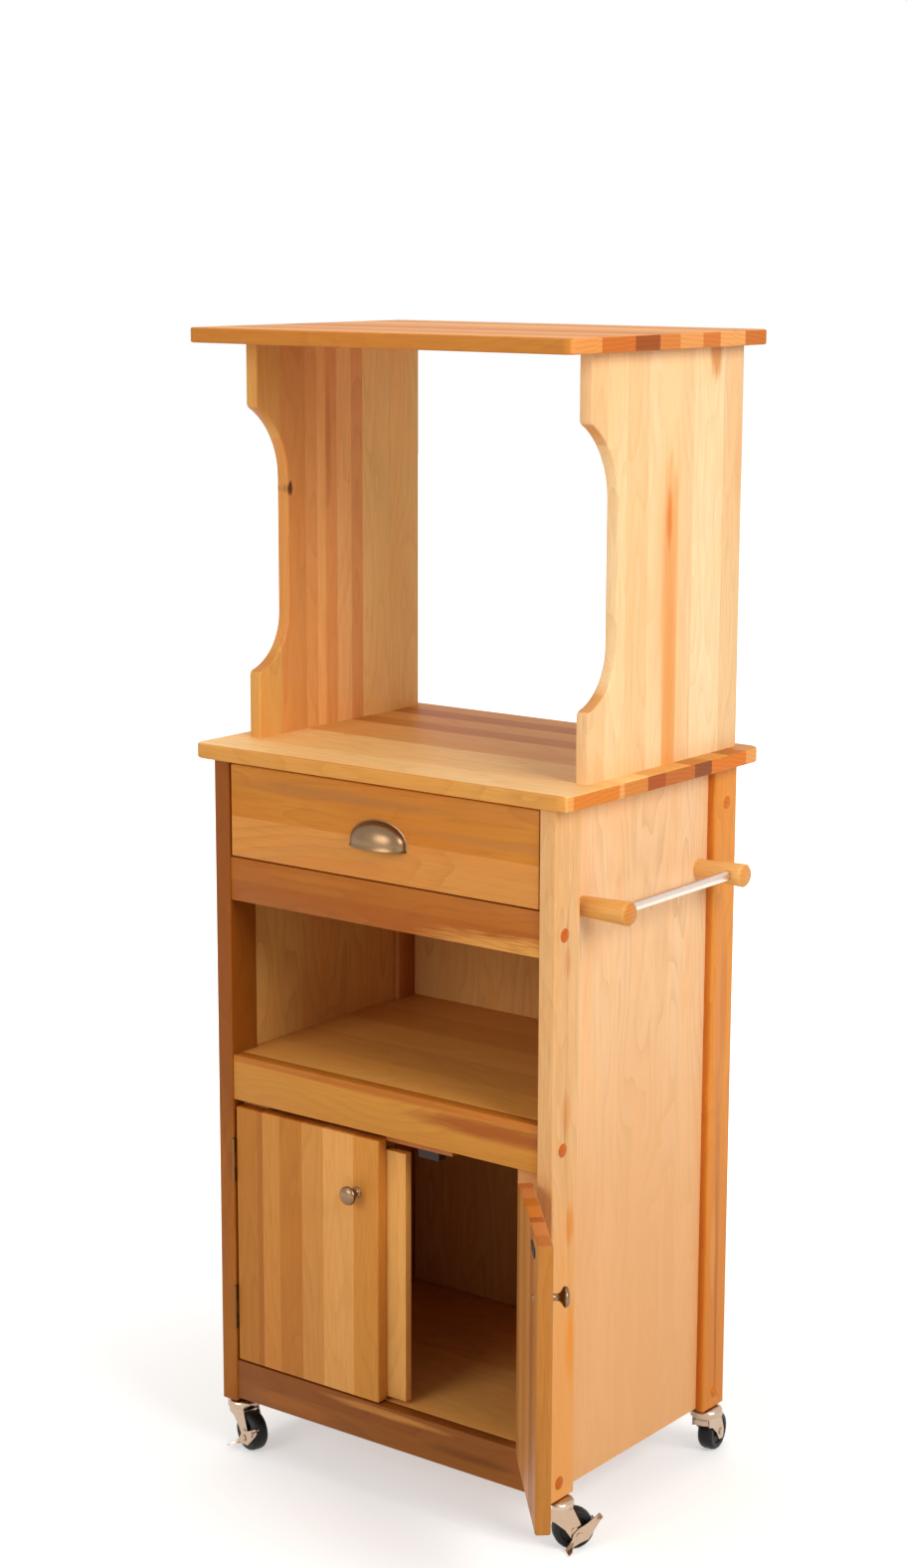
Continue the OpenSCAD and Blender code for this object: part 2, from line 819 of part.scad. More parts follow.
module at_fr() {
    at_caster(leg_x, front_leg_y, head_fr) children();
}

module at_rl() {
    at_caster(-leg_x, back_leg_y, head_rl) children();
}

module at_rr() {
    at_caster(leg_x, back_leg_y, head_rr) children();
}

// The stem in the leg, its flange and the swivel pin with its riveted end.
module stem() {
    translate([0, 0, foot_z - 1.7]) cylinder(d = stem_flange_d, h = 1.7);
    translate([0, 0, foot_z - e]) cylinder(d = stem_d, h = stem_up);
    translate([0, 0, fork_roof - 1.8]) cylinder(d = swivel_d, h = foot_z - fork_roof);
    translate([0, 0, fork_roof - 2.8]) cylinder(d = swivel_d + 3, h = 2.5);
}

module caster_stems() {
    color("silver") {
        at_fl() stem();
        at_fr() stem();
        at_rl() stem();
        at_rr() stem();
    }
}

// One side plate of a fork, seen from the side: distance from the swivel axis and height.
module cheek_outline() {
    polygon([
        [-13, cap_z + 1], [21.5, cap_z + 1], [trail + 6, wheel_z + 11.5], [trail + 10, wheel_z],
        [trail + 9, wheel_z - 9], [trail + 5, wheel_z - 12], [trail - 5, wheel_z - 9.5],
        [trail - 13, wheel_z + 2.5], [-2, wheel_z + 14.5], [-13, wheel_z + 18.5]]);
}

// The round cap that holds the balls of the swivel, from its lower rim to the top.
module fork_cap() {
    r = cap_d / 2;
    translate([cap_shift, 0, 0]) rotate_extrude($fn = 72)
        polygon([
            [0, cap_z], [r, cap_z], [r, cap_z + 7], [r - 1, cap_z + 9],
            [r - 3, cap_z + 10.5], [r - 9, fork_top], [0, fork_top]]);
}

// The curved wall that joins the side plates behind the swivel axis.
module fork_wall() {
    r = cap_d / 2 - 2;
    intersection() {
        translate([cap_shift, 0, wall_low]) difference() {
            cylinder(r = r, h = cap_z + 1 - wall_low);
            translate([0, 0, -e]) cylinder(r = r - fork_t, h = cap_z + 2 - wall_low);
        }
        between([-r - 5, -fork_in - e, wall_low - 1], [-8, fork_in + e, cap_z + 2]);
    }
}

// The rivet on the outer side plate that the brake lever rocks on.
module brake_rivet() {
    translate([trail + rivet_off, 0, wheel_z - rivet_off]) rotate([90, 0, 0]) {
        translate([0, 0, fork_in + fork_t - 0.5]) cylinder(d = rivet_d, h = lever_in - fork_in + 1);
        translate([0, 0, lever_in + fork_t + 0.2]) cylinder(d = rivet_d + 4, h = 1.2);
    }
}

module fork() {
    difference() {
        union() {
            fork_cap();
            fork_wall();
            for (s = [-1, 1])
                translate([0, s * (fork_in + fork_t / 2) + fork_t / 2, 0])
                    rotate([90, 0, 0]) linear_extrude(fork_t) cheek_outline();
            between([-13, -fork_in - e, fork_roof], [21.5, fork_in + e, cap_z + 1]);
        }
        translate([0, 0, fork_roof - 1]) cylinder(d = swivel_d + 2 * play, h = swivel_h + 2);
        translate([trail, 0, wheel_z]) rotate([90, 0, 0]) cylinder(d = axle_d, h = 60, center = true);
    }
}

module braked_fork() {
    fork();
    brake_rivet();
}

module wheel() {
    w = wheel_w / 2;
    translate([trail, 0, wheel_z]) rotate([90, 0, 0]) rotate_extrude($fn = 72)
        polygon([[axle_d / 2 + play, -fork_in + 0.3], [7, -fork_in + 0.3], [7.5, -w + 3], [17, -w + 3],
            [18.5, -w], [wheel_d / 2 - 3, -w], [wheel_d / 2 - 0.8, -w + 2.5], [wheel_d / 2, -w + 6],
            [wheel_d / 2, w - 6], [wheel_d / 2 - 0.8, w - 2.5], [wheel_d / 2 - 3, w], [18.5, w],
            [17, w - 3], [7.5, w - 3], [7, fork_in - 0.3], [axle_d / 2 + play, fork_in - 0.3]]);
}

module axle() {
    out = fork_in + fork_t;
    translate([trail, 0, wheel_z]) rotate([90, 0, 0]) {
        cylinder(d = axle_d, h = 2 * out + 0.2, center = true);
        for (s = [-1, 1])
            translate([0, 0, s * (out + rivet_head / 2)])
                cylinder(d = axle_d + 3.5, h = rivet_head, center = true);
    }
}

// A brake lever beside the wheel, drawn level on its rivet: a plate with a foot tab bent out at
// each end and a shoe bar that reaches in over the tread.
module lever_level() {
    out = -lever_in - fork_t;
    difference() {
        union() {
            translate([0, -lever_in, 0]) rotate([90, 0, 0]) linear_extrude(fork_t)
                polygon([
                    [-26, 1.5], [-11, 4], [-4, 8], [6, 8], [18, 5], [38, 2.5], [38, -2],
                    [32, -5], [16, -9], [4, -11.5], [-7, -6.5], [-16, -4], [-26, -2]]);
            translate([0, 0, -1.5]) linear_extrude(fork_t)
                polygon([[-26, out - 14], [-21, out - 14], [-11, out + 0.5], [-26, out + 0.5]]);
            translate([0, 0, -1.5]) linear_extrude(fork_t)
                polygon([[38, out - 7], [34, out - 7], [29, out + 0.5], [38, out + 0.5]]);
            translate([shoe_along, -6, shoe_over])
                rotate([90, 0, 0]) cylinder(d = shoe_d, h = lever_in - 5.5);
        }
        rotate([90, 0, 0]) cylinder(d = rivet_d + 2 * play, h = 60);
    }
}

module lever(slope) {
    translate([trail + rivet_off, 0, wheel_z - rivet_off]) rotate([0, -slope, 0]) lever_level();
}

module caster_fork_fl() {
    color("silver") at_fl() braked_fork();
}

module caster_fork_fr() {
    color("silver") at_fr() braked_fork();
}

module caster_fork_rl() {
    color("silver") at_rl() fork();
}

module caster_fork_rr() {
    color("silver") at_rr() fork();
}

module caster_wheel_fl() {
    color("black") at_fl() wheel();
}

module caster_wheel_fr() {
    color("black") at_fr() wheel();
}

module caster_wheel_rl() {
    color("black") at_rl() wheel();
}

module caster_wheel_rr() {
    color("black") at_rr() wheel();
}

module caster_axle_fl() {
    color("silver") at_fl() axle();
}

module caster_axle_fr() {
    color("silver") at_fr() axle();
}

module caster_axle_rl() {
    color("silver") at_rl() axle();
}

module caster_axle_rr() {
    color("silver") at_rr() axle();
}

module brake_lever_fl() {
    color("silver") at_fl() lever(slope_fl);
}

module brake_lever_fr() {
    color("silver") at_fr() lever(slope_fr);
}

// Puts the middle of the footprint of the drawn pose on the origin.
module placed() {
    translate([origin_x, origin_y, 0]) children();
}

placed() hutch_shelf();
placed() hutch_side_left();
placed() hutch_side_right();
placed() hutch_dowels();
placed() cart_top();
placed() leg_front_left();
placed() leg_front_right();
placed() leg_rear_left();
placed() leg_rear_right();
placed() side_panel_left();
placed() side_panel_right();
placed() back_panel();
placed() drawer_rail();
placed() shelf_rail();
placed() bottom_rail();
placed() rear_rails();
placed() middle_shelf();
placed() bottom_shelf();
placed() drawer_runners();
placed() drawer_front();
placed() drawer_side_left();
placed() drawer_side_right();
placed() drawer_back();
placed() drawer_bottom();
placed() cup_pull();
placed() cup_pull_screws();
placed() door_left();
placed() astragal();
placed() door_right();
placed() knob_left();
placed() knob_right();
placed() hinge_frame_leaves_left();
placed() hinge_frame_leaves_right();
placed() hinge_door_leaves_left();
placed() hinge_door_leaves_right();
placed() hinge_cleat_left();
placed() hinge_cleat_right();
placed() catch_cleat();
placed() magnetic_catch();
placed() strike_plate();
placed() towel_peg_front();
placed() towel_peg_rear();
placed() towel_rod();
placed() screw_buttons();
placed() caster_stems();
placed() caster_fork_fl();
placed() caster_fork_fr();
placed() caster_fork_rl();
placed() caster_fork_rr();
placed() caster_wheel_fl();
placed() caster_wheel_fr();
placed() caster_wheel_rl();
placed() caster_wheel_rr();
placed() caster_axle_fl();
placed() caster_axle_fr();
placed() caster_axle_rl();
placed() caster_axle_rr();
placed() brake_lever_fl();
placed() brake_lever_fr();
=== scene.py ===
import json
import math
import bmesh
import bpy
from mathutils import Matrix, Vector


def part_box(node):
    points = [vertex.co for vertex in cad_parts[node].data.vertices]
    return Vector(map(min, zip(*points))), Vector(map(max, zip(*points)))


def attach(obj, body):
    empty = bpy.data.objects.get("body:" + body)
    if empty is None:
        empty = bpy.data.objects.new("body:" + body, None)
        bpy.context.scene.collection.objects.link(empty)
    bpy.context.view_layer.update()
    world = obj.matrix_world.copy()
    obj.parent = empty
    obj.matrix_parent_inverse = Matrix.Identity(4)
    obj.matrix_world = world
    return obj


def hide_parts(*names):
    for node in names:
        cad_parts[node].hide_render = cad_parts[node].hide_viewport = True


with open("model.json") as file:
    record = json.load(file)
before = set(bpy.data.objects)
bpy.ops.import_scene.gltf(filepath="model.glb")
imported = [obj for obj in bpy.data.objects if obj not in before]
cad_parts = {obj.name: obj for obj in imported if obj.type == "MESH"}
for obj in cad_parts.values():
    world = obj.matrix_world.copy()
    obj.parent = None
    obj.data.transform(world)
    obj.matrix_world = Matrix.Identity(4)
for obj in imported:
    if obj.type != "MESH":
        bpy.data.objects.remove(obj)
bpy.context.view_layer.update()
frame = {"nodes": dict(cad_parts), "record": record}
nodes = frame["nodes"]

# ---------------------------------------------------------------- studio
# A pale floor under soft lamps, with a strong soft key from the cart's right and a weak fill
# from its front. The camera stands to the right of the front, a little above the cart top.
scene = bpy.context.scene
scene.view_settings.view_transform = "Standard"

eye = bpy.data.cameras.new("studio_camera")
eye.lens = 64.49
eye.sensor_width = 36
eye.shift_x = -0.0006
eye.shift_y = 0.0094
camera = bpy.data.objects.new("studio_camera", eye)
camera.location = (2.1036, -2.7801, 1.6207)
camera.rotation_euler = [math.radians(a) for a in (78.6593, -0.1407, 37.4066)]
scene.collection.objects.link(camera)
scene.camera = camera


def lamp(name, place, aim, size, watts, colour=(1, 1, 1)):
    light = bpy.data.lights.new(name, "AREA")
    light.shape = "DISK"
    light.size = size
    light.energy = watts
    light.color = colour
    body = bpy.data.objects.new(name, light)
    body.location = place
    body.rotation_euler = (Vector(aim) - Vector(place)).to_track_quat("-Z", "Y").to_euler()
    scene.collection.objects.link(body)


lamp("key_right", (3.4, -0.6, 2.7), (0, 0.1, 0.8), 2.2, 96, (1, 0.98, 0.95))
lamp("fill_front", (-0.6, -4.2, 2.2), (0, 0, 0.8), 2.6, 70, (1, 0.99, 0.97))
lamp("top_soft", (-0.4, 0.4, 3.9), (0, 0.1, 1.0), 2.0, 34)


def bare_tree(owner):
    """The node tree of a material or a world, switched on and emptied."""
    owner.use_nodes = True
    owner.node_tree.nodes.clear()
    return owner.node_tree


def background_rays(tree):
    """1 for rays that show the background: camera, glossy and transmission rays."""
    path = tree.nodes.new("ShaderNodeLightPath")
    seen = path.outputs["Is Camera Ray"]
    for ray in ("Is Glossy Ray", "Is Transmission Ray"):
        either = tree.nodes.new("ShaderNodeMath")
        either.operation = "MAXIMUM"
        tree.links.new(seen, either.inputs[0])
        tree.links.new(path.outputs[ray], either.inputs[1])
        seen = either.outputs[0]
    return seen


world = bpy.data.worlds.new("studio_air")
scene.world = world
air = bare_tree(world)
soft_air = air.nodes.new("ShaderNodeBackground")
soft_air.inputs["Color"].default_value = (1, 0.985, 0.96, 1)
soft_air.inputs["Strength"].default_value = 0.42
white_air = air.nodes.new("ShaderNodeBackground")
white_air.inputs["Color"].default_value = (1, 1, 1, 1)
white_air.inputs["Strength"].default_value = 1.0
air_mix = air.nodes.new("ShaderNodeMixShader")
air.links.new(background_rays(air), air_mix.inputs[0])
air.links.new(soft_air.outputs[0], air_mix.inputs[1])
air.links.new(white_air.outputs[0], air_mix.inputs[2])
air_out = air.nodes.new("ShaderNodeOutputWorld")
air.links.new(air_mix.outputs[0], air_out.inputs[0])

# The floor fades into the white background away from the cart, and keeps the cart's shadow.
floor_half = 14
shadow_reach = 0.45
white_reach = 1.9
floor_mesh = bpy.data.meshes.new("studio_floor")
bm = bmesh.new()
bmesh.ops.create_grid(bm, x_segments=1, y_segments=1, size=floor_half)
bm.to_mesh(floor_mesh)
bm.free()
studio_floor = bpy.data.objects.new("studio_floor", floor_mesh)
scene.collection.objects.link(studio_floor)
floor_paint = bpy.data.materials.new("floor_white")
tree = bare_tree(floor_paint)
chalk = tree.nodes.new("ShaderNodeBsdfDiffuse")
chalk.inputs["Color"].default_value = (0.72, 0.72, 0.715, 1)
lift = tree.nodes.new("ShaderNodeEmission")
lift.inputs["Color"].default_value = (1, 1, 1, 1)
spot = tree.nodes.new("ShaderNodeTexCoord")
reach = tree.nodes.new("ShaderNodeVectorMath")
reach.operation = "LENGTH"
tree.links.new(spot.outputs["Object"], reach.inputs[0])
spread = tree.nodes.new("ShaderNodeMapRange")
spread.interpolation_type = "SMOOTHSTEP"
spread.inputs["From Min"].default_value = shadow_reach
spread.inputs["From Max"].default_value = white_reach
spread.inputs["To Min"].default_value = 0.45
spread.inputs["To Max"].default_value = 1.0
tree.links.new(reach.outputs["Value"], spread.inputs["Value"])
tree.links.new(spread.outputs["Result"], lift.inputs["Strength"])
both = tree.nodes.new("ShaderNodeAddShader")
tree.links.new(chalk.outputs[0], both.inputs[0])
tree.links.new(lift.outputs[0], both.inputs[1])
floor_mix = tree.nodes.new("ShaderNodeMixShader")
tree.links.new(background_rays(tree), floor_mix.inputs[0])
tree.links.new(chalk.outputs[0], floor_mix.inputs[1])
tree.links.new(both.outputs[0], floor_mix.inputs[2])
floor_out = tree.nodes.new("ShaderNodeOutputMaterial")
tree.links.new(floor_mix.outputs[0], floor_out.inputs[0])
floor_mesh.materials.append(floor_paint)


# ---------------------------------------------------------------- cart top and hutch shelf
# Two 19 mm slabs glued up from hardwood staves that run the width of the cart, sanded round at
# the corners and edges and varnished satin. Their sawn ends show as a row of darker blocks.
def tone(r, g, b):
    """An sRGB colour, 0 to 255, as linear light."""
    return tuple(((c / 255 + 0.055) / 1.055) ** 2.4 if c > 10 else c / 3295 for c in (r, g, b)) + (1,)


def math_node(tree, kind, a, b=None, c=None, clamp=False):
    """A Math node of one kind on numbers or sockets."""
    node = tree.nodes.new("ShaderNodeMath")
    node.operation = kind
    node.use_clamp = clamp
    for i, v in enumerate((a, b, c)):
        if v is None:
            continue
        if isinstance(v, (int, float)):
            node.inputs[i].default_value = v
        else:
            tree.links.new(v, node.inputs[i])
    return node.outputs[0]


def above(tree, value, level, gain):
    """How far a value stands above a level, times a gain, held between 0 and 1."""
    over = math_node(tree, "SUBTRACT", value, level, clamp=True)
    return math_node(tree, "MULTIPLY", over, gain, clamp=True)


def mixed(tree, how, amount, a, b):
    """Colours a and b put together by a Mix node, whose colour sockets have places 6, 7 and 2."""
    node = tree.nodes.new("ShaderNodeMix")
    node.data_type = "RGBA"
    node.blend_type = how
    for socket, v in ((node.inputs[0], amount), (node.inputs[6], a), (node.inputs[7], b)):
        if isinstance(v, (int, float, tuple)):
            socket.default_value = v
        else:
            tree.links.new(v, socket)
    return node.outputs[2]


def rubbed(tree, shader, height, strength, distance):
    """Puts a shallow bump on a shader and leads it to the material's output."""
    bump = tree.nodes.new("ShaderNodeBump")
    bump.inputs["Strength"].default_value = strength
    bump.inputs["Distance"].default_value = distance
    tree.links.new(height, bump.inputs["Height"])
    tree.links.new(bump.outputs[0], shader.inputs["Normal"])
    out = tree.nodes.new("ShaderNodeOutputMaterial")
    tree.links.new(shader.outputs[0], out.inputs[0])


def strips_ramp(tree, across, lo, hi, strips):
    """Stave colours by their place across the board: (start of the stave from 0 to 1, colour)."""
    place = math_node(tree, "DIVIDE", math_node(tree, "SUBTRACT", across, lo), hi - lo, clamp=True)
    ramp = tree.nodes.new("ShaderNodeValToRGB")
    ramp.color_ramp.interpolation = "CONSTANT"
    stops = ramp.color_ramp.elements
    stops[0].position, stops[0].color = 0, strips[0][1]
    stops[1].position, stops[1].color = max(strips[-1][0], 0.001), strips[-1][1]
    for start, colour in strips[1:-1]:
        stops.new(start).color = colour
    tree.links.new(place, ramp.inputs[0])
    return ramp.outputs[0]


def hardwood(name, along, across, lo, hi, strips, ends=None, marks=(), seed=0.0, figure=1.0,
             gloss=0.36, turn=None):
    """Varnished hardwood: staves side by side, each with its own run of rings and fine fibres.

    along and across are the axes (0 X, 1 Y, 2 Z) of the grain and of the row of staves; lo and
    hi are the board's limits across, in metres. ends colours the sawn ends. marks are
    (along, across, half length, half width, colour, strength) for knots and stained streaks.
    figure is how strongly the grain shows and gloss the least roughness. turn is the pin and the
    angle of a board that stands swung open at rest.
    """
    ring_shade = (0.72, 0.60, 0.48, 1)
    cloud_shade = (1.0, 0.86, 0.70, 1)
    end_shade = (0.88, 0.66, 0.46, 1)
    end_ring_shade = (0.74, 0.62, 0.52, 1)
    rings_per_metre = 9.0
    ring_wander = 5.2

    wood = bpy.data.materials.new(name)
    tree = bare_tree(wood)
    coord = tree.nodes.new("ShaderNodeTexCoord")
    split = tree.nodes.new("ShaderNodeSeparateXYZ")
    if turn:
        own = tree.nodes.new("ShaderNodeMapping")
        own.vector_type = "TEXTURE"
        own.inputs["Location"].default_value = turn[0]
        own.inputs["Rotation"].default_value = (0, 0, turn[1])
        tree.links.new(coord.outputs["Object"], own.inputs[0])
        tree.links.new(own.outputs[0], split.inputs[0])
    else:
        tree.links.new(coord.outputs["Object"], split.inputs[0])
    a, b = split.outputs[along], split.outputs[across]
    c = split.outputs[3 - along - across]

    # Each stave's colour also picks its own place in the noise, so the grain breaks at the joints.
    base = strips_ramp(tree, b, lo, hi, strips)
    jump = tree.nodes.new("ShaderNodeTexWhiteNoise")
    jump.noise_dimensions = "3D"
    tree.links.new(base, jump.inputs["Vector"])
    shift = math_node(tree, "MULTIPLY_ADD", jump.outputs["Value"], 7.0, seed)

    line = tree.nodes.new("ShaderNodeCombineXYZ")
    tree.links.new(math_node(tree, "ADD", a, shift), line.inputs[0])
    tree.links.new(math_node(tree, "MULTIPLY_ADD", shift, 0.37, b), line.inputs[1])
    tree.links.new(math_node(tree, "MULTIPLY_ADD", shift, 0.11, c), line.inputs[2])

    def noise(scale, stretch, detail, distort=0.0):
        """Noise of a scale per metre across the grain, drawn out along it."""
        squeeze = tree.nodes.new("ShaderNodeMapping")
        squeeze.inputs["Scale"].default_value = (scale / stretch, scale, scale)
        tree.links.new(line.outputs[0], squeeze.inputs[0])
        node = tree.nodes.new("ShaderNodeTexNoise")
        node.inputs["Scale"].default_value = 1.0
        node.inputs["Detail"].default_value = detail
        node.inputs["Roughness"].default_value = 0.55
        node.inputs["Distortion"].default_value = distort
        tree.links.new(squeeze.outputs[0], node.inputs["Vector"])
        return node.outputs["Fac"]

    fibre = noise(620, 26, 4)
    pore = noise(1500, 40, 2)
    cloud = noise(22, 7, 3, distort=0.4)
    bend = noise(9, 5.5, 2)
    rings = tree.nodes.new("ShaderNodeTexWave")
    rings.wave_type = "BANDS"
    rings.bands_direction = "Y"
    rings.wave_profile = "SAW"
    rings.inputs["Scale"].default_value = 1.0
    rings.inputs["Distortion"].default_value = 0.0
    grown = tree.nodes.new("ShaderNodeCombineXYZ")
    warp = math_node(tree, "MULTIPLY", bend, ring_wander)
    straight = math_node(tree, "MULTIPLY", b, rings_per_metre)
    tree.links.new(math_node(tree, "ADD", straight, warp), grown.inputs[1])
    tree.links.new(grown.outputs[0], rings.inputs["Vector"])

    dark = mixed(tree, "MULTIPLY", 1.0, base, ring_shade)
    warm = mixed(tree, "MULTIPLY", 1.0, base, cloud_shade)
    late_wood = math_node(tree, "POWER", rings.outputs["Fac"], 3.0)
    colour = mixed(tree, "MIX", math_node(tree, "MULTIPLY", late_wood, 0.30 * figure), base, dark)
    colour = mixed(tree, "MIX", above(tree, cloud, 0.42, 2.2 * figure), colour, warm)
    colour = mixed(tree, "MIX", above(tree, fibre, 0.45, 1.5), colour, dark)
    open_pores = math_node(tree, "GREATER_THAN", pore, 0.66)
    colour = mixed(tree, "MIX", math_node(tree, "MULTIPLY", open_pores, 0.22), colour, dark)

    for at_a, at_b, half_a, half_b, stain, strength in marks:
        da = math_node(tree, "DIVIDE", math_node(tree, "SUBTRACT", a, at_a), half_a)
        db = math_node(tree, "DIVIDE", math_node(tree, "SUBTRACT", b, at_b), half_b)
        reach = math_node(tree, "MULTIPLY", db, db)
        reach = math_node(tree, "ADD", math_node(tree, "MULTIPLY", da, da), reach)
        for fray, amount in ((fibre, 1.6), (cloud, 1.4)):
            reach = math_node(tree, "MULTIPLY_ADD", math_node(tree, "SUBTRACT", fray, 0.5), amount, reach)
        inside = math_node(tree, "SUBTRACT", 1.0, reach, clamp=True)
        stained = math_node(tree, "MULTIPLY", inside, strength, clamp=True)
        colour = mixed(tree, "MIX", stained, colour, stain)

    # The sawn ends are darker, with the rings cut across.
    facing = tree.nodes.new("ShaderNodeSeparateXYZ")
    tree.links.new(coord.outputs["Normal"], facing.inputs[0])
    end = above(tree, math_node(tree, "ABSOLUTE", facing.outputs[along]), 0.55, 4.0)
    if ends:
        end_base = strips_ramp(tree, b, lo, hi, ends)
    else:
        end_base = mixed(tree, "MULTIPLY", 1.0, base, end_shade)
    arc = tree.nodes.new("ShaderNodeTexWave")
    arc.wave_type = "RINGS"
    arc.rings_direction = "X"
    arc.inputs["Scale"].default_value = 55
    arc.inputs["Distortion"].default_value = 2.0
    arc.inputs["Detail"].default_value = 2.0
    cut = tree.nodes.new("ShaderNodeCombineXYZ")
    tree.links.new(b, cut.inputs[1])
    tree.links.new(math_node(tree, "MULTIPLY_ADD", jump.outputs["Value"], 0.15, c), cut.inputs[2])
    tree.links.new(cut.outputs[0], arc.inputs["Vector"])
    end_dark = mixed(tree, "MULTIPLY", 1.0, end_base, end_ring_shade)
    end_rings = math_node(tree, "MULTIPLY", arc.outputs["Fac"], 0.35)
    colour = mixed(tree, "MIX", end, colour, mixed(tree, "MIX", end_rings, end_base, end_dark))

    shader = tree.nodes.new("ShaderNodeBsdfPrincipled")
    tree.links.new(colour, shader.inputs["Base Color"])
    tree.links.new(math_node(tree, "MULTIPLY_ADD", fibre, 0.12, gloss), shader.inputs["Roughness"])
    shader.inputs["Specular IOR Level"].default_value = 0.15
    shader.inputs["Coat Weight"].default_value = 0.03
    shader.inputs["Coat Roughness"].default_value = 0.22
    rubbed(tree, shader, fibre, 0.14, 0.0004)
    return wood


def finish_piece(bm, name, body, material, node, sharp=35):
    """Makes the object that replaces a node: smooth except over its sharp edges, on its body."""
    mesh = bpy.data.meshes.new(name)
    bm.to_mesh(mesh)
    bm.free()
    for face in mesh.polygons:
        face.use_smooth = True
    mesh.set_sharp_from_angle(angle=math.radians(sharp))
    mesh.materials.append(material)
    piece = bpy.data.objects.new(name, mesh)
    scene.collection.objects.link(piece)
    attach(piece, body)
    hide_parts(node)


merge_distance = 1e-5
arris_angle = 0.8


def sanded(node, body, material, ease=0.0, steps=3, shortest=0.005, skip=None, sharp=35):
    """The board's own solid, its faces cleaned to single planes and its outer edges sanded round."""
    bm = bmesh.new()
    bm.from_mesh(nodes[node].data)
    bmesh.ops.remove_doubles(bm, verts=bm.verts, dist=merge_distance)
    bmesh.ops.dissolve_limit(bm, angle_limit=math.radians(0.4), verts=bm.verts, edges=bm.edges)
    if ease:
        corners = [e for e in bm.edges if len(e.link_faces) == 2 and e.is_convex]
        corners = [e for e in corners if e.calc_face_angle() > arris_angle and e.calc_length() > shortest]
        corners = [e for e in corners if not (skip and skip(e))]
        bmesh.ops.bevel(bm, geom=corners, offset=ease, offset_type="OFFSET", segments=steps, profile=0.5,
                        affect="EDGES", clamp_overlap=True, material=-1)
    finish_piece(bm, node + "_sanded", body, material, node, sharp)


top_low, top_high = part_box("cart_top")
# The stave from 0.81 across is darker wood, deepened with painted shadow cast by a pot that stood on the
# top.
top_staves_with_shadow = [(0, tone(222, 158, 78)), (0.009, tone(255, 212, 144)), (0.16, tone(250, 202, 130)),
              (0.28, tone(255, 210, 138)), (0.40, tone(236, 176, 98)), (0.50, tone(240, 182, 104)),
              (0.61, tone(206, 136, 58)), (0.71, tone(224, 160, 82)), (0.81, tone(190, 114, 42)),
              (0.90, tone(212, 146, 68))]
top_ends = [(0, tone(234, 162, 86)), (0.03, tone(224, 130, 46)), (0.25, tone(236, 164, 96)),
            (0.27, tone(216, 134, 58)), (0.39, tone(172, 84, 32)), (0.48, tone(194, 108, 44)),
            (0.63, tone(142, 76, 32)), (0.72, tone(222, 122, 38)), (0.91, tone(234, 160, 88))]
sanded("cart_top", "cart",
       hardwood("cart_top_staves_with_shadow", 0, 1, top_low[1], top_high[1], top_staves_with_shadow, top_ends, seed=1.3,
                figure=1.4, gloss=0.46))

shelf_low, shelf_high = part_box("hutch_shelf")
shelf_staves = [(0, tone(202, 129, 50)), (0.012, tone(222, 158, 94)), (0.12, tone(206, 138, 76)),
                (0.25, tone(216, 150, 88)), (0.38, tone(198, 128, 68)), (0.52, tone(212, 148, 84)),
                (0.66, tone(222, 160, 96)), (0.80, tone(204, 136, 74)), (0.91, tone(214, 150, 86))]
shelf_ends = [(0, tone(231, 151, 76)), (0.14, tone(206, 112, 42)), (0.30, tone(158, 80, 30)),
              (0.42, tone(216, 130, 60)), (0.52, tone(232, 156, 86)), (0.64, tone(212, 122, 56)),
              (0.73, tone(236, 164, 94)), (0.86, tone(204, 114, 46))]
sanded("hutch_shelf", "cart",
       hardwood("hutch_shelf_staves", 0, 1, shelf_low[1], shelf_high[1], shelf_staves, shelf_ends, seed=4.1,
                gloss=0.52))


# ---------------------------------------------------------------- hutch panels
# Two 19 mm side panels of upright staves, scooped at the front and sanded round on the edges
# that show. They stand on the cart top on dowels, which nothing shows of.
panel_low, panel_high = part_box("hutch_side_right")
panel_ease = 0.003


def at_y(share):
    """The place that far back across the panel, from 0 at its front edge to 1 at its rear."""
    return panel_low[1] + share * (panel_high[1] - panel_low[1])


def at_an_end(edge):
    """Whether an edge lies on the panel's foot or on its head, where a slab covers it."""
    return any(all(abs(v.co.z - z) < 1e-4 for v in edge.verts) for z in (panel_low[2], panel_high[2]))


right_staves = [(0, tone(244, 200, 146)), (0.10, tone(250, 212, 160)), (0.22, tone(246, 204, 150)),
                (0.36, tone(252, 214, 164)), (0.47, tone(242, 184, 118)), (0.56, tone(248, 206, 154)),
                (0.66, tone(254, 220, 170)), (0.86, tone(244, 202, 148))]
right_marks = [(1.46, at_y(0.515), 0.16, 0.030, tone(250, 206, 152), 1.4),
               (1.20, at_y(0.47), 0.20, 0.030, tone(246, 190, 130), 0.7),
               (1.189, at_y(0.505), 0.16, 0.018, tone(232, 144, 70), 0.7),
               (1.282, at_y(0.505), 0.046, 0.008, tone(222, 122, 44), 0.9),
               (1.06, at_y(0.515), 0.16, 0.018, tone(234, 152, 74), 0.8),
               (1.49, at_y(0.80), 0.05, 0.018, tone(218, 148, 82), 1.6),
               (1.339, at_y(0.97), 0.07, 0.012, tone(232, 160, 96), 0.5)]
sanded("hutch_side_right", "cart",
       hardwood("hutch_right_staves", 2, 1, panel_low[1], panel_high[1], right_staves,
                marks=right_marks, seed=2.2),
       ease=panel_ease, shortest=0, skip=at_an_end)
